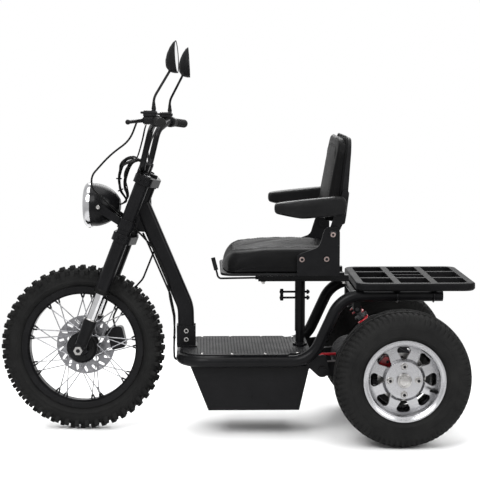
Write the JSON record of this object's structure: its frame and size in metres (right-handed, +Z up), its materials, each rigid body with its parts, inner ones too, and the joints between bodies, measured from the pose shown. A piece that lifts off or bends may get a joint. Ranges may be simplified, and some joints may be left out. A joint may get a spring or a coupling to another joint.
{
  "type": "electric tricycle",
  "caption": "Electric tricycle with a knobby wire-spoked front wheel on a raked fork, a step-through deck, a padded seat on a post and wide alloy rear wheels below a luggage rack.",
  "frame": {"origin": "on the ground under the centre of the bounding box", "axes": "+X forward, +Y to the rider's left, +Z up"},
  "size_m": [1.7269, 0.8042, 1.432],
  "materials": {
    "frame_paint": "satin black",
    "deck_paint": "textured black",
    "black_plastic": "matte black",
    "black_hose": "matte black",
    "seat_vinyl": "grained black vinyl",
    "tyre_rubber": "matte",
    "grip_rubber": "ribbed",
    "chrome": "bright plated",
    "alloy": "polished",
    "hub_steel": "machined",
    "grey_casting": "as cast",
    "battery_case": "matte",
    "red_paint": "gloss red",
    "red_sheath": "matte red",
    "lamp_glass": "fluted clear",
    "mirror_glass": "mirror"
  },
  "bodies": {
    "frame": {"front_frame": "frame_paint", "neck_bracket": "frame_paint", "deck_frame": "frame_paint", "rail_plugs": "black_plastic", "deck_plate": "deck_paint", "battery_box": "frame_paint", "battery": "battery_case", "seat_post": "frame_paint", "seat_sleeve": "frame_paint", "sleeve_screws": "frame_paint", "slide_base": "frame_paint", "slide_lever": "black_plastic", "seat_pan": "black_plastic", "seat_cushion": "seat_vinyl", "seat_brackets": "frame_paint", "axle_housing": "grey_casting", "motor": "grey_casting", "swing_arm": "frame_paint", "dampers": "grey_casting", "springs": "red_paint", "rear_calipers": "red_paint", "motor_cable": "red_sheath", "rack": "frame_paint", "frame_cables": "black_hose", "cable_crossing": "black_hose"},
    "backrest": {"backrest_shell": "black_plastic", "backrest_cushion": "seat_vinyl"},
    "armrest_left": {"armrest_left": "seat_vinyl"},
    "armrest_right": {"armrest_right": "seat_vinyl"},
    "steering": {"fork_tubes": "frame_paint", "fork_sliders": "chrome", "fork_feet": "frame_paint", "front_axle": "chrome", "fork_clamps": "frame_paint", "handlebar": "frame_paint", "grips": "grip_rubber", "hand_controls": "black_plastic", "mirror_heads": "black_plastic", "mirror_glass": "mirror_glass", "mirror_arms": "frame_paint", "lamp_bucket": "frame_paint", "lamp_ring": "chrome", "lamp_lens": "lamp_glass", "lamp_reflector": "chrome", "lamp_brackets": "frame_paint", "front_caliper": "grey_casting", "front_brake_hose": "black_hose", "rear_brake_hose": "black_hose", "wiring_loom": "black_plastic"},
    "front_wheel": {"front_tyre": "tyre_rubber", "front_rim": "frame_paint", "front_hub": "frame_paint", "front_spokes": "chrome", "front_disc": "hub_steel"},
    "rear_wheel_left": {"rear_tyre_left": "tyre_rubber", "rear_rim_left": "alloy", "rear_hub_left": "hub_steel"},
    "rear_wheel_right": {"rear_tyre_right": "tyre_rubber", "rear_rim_right": "alloy", "rear_hub_right": "hub_steel"}
  },
  "joints": [
    {"name": "steer", "type": "hinge", "parent": "frame", "child": "steering", "pos_m": [0.5424, 0, 0.29855], "axis": [-0.3584, 0, 0.9336], "range_deg": [-29.5, 40.5], "deforming": ["cable_crossing"]},
    {"name": "front_wheel_spin", "type": "hinge", "parent": "steering", "child": "front_wheel", "pos_m": [0.55912, -0.00172, 0.30497], "axis": [0.0895, 0.9954, 0.0343], "continuous": true},
    {"name": "rear_wheel_left_spin", "type": "hinge", "parent": "frame", "child": "rear_wheel_left", "pos_m": [-0.5908, 0.32, 0.244], "axis": [0, 1, 0], "continuous": true},
    {"name": "rear_wheel_right_spin", "type": "hinge", "parent": "frame", "child": "rear_wheel_right", "pos_m": [-0.5908, -0.32, 0.244], "axis": [0, 1, 0], "continuous": true},
    {"name": "backrest_fold", "type": "hinge", "parent": "frame", "child": "backrest", "pos_m": [-0.349, 0, 0.745], "axis": [0, 1, 0], "range_deg": [0, 80]},
    {"name": "armrest_left_flip", "type": "hinge", "parent": "backrest", "child": "armrest_left", "pos_m": [-0.372, 0.266, 0.852], "axis": [0, -1, 0], "range_deg": [0, 100]},
    {"name": "armrest_right_flip", "type": "hinge", "parent": "backrest", "child": "armrest_right", "pos_m": [-0.372, -0.266, 0.852], "axis": [0, -1, 0], "range_deg": [0, 100]}
  ]
}
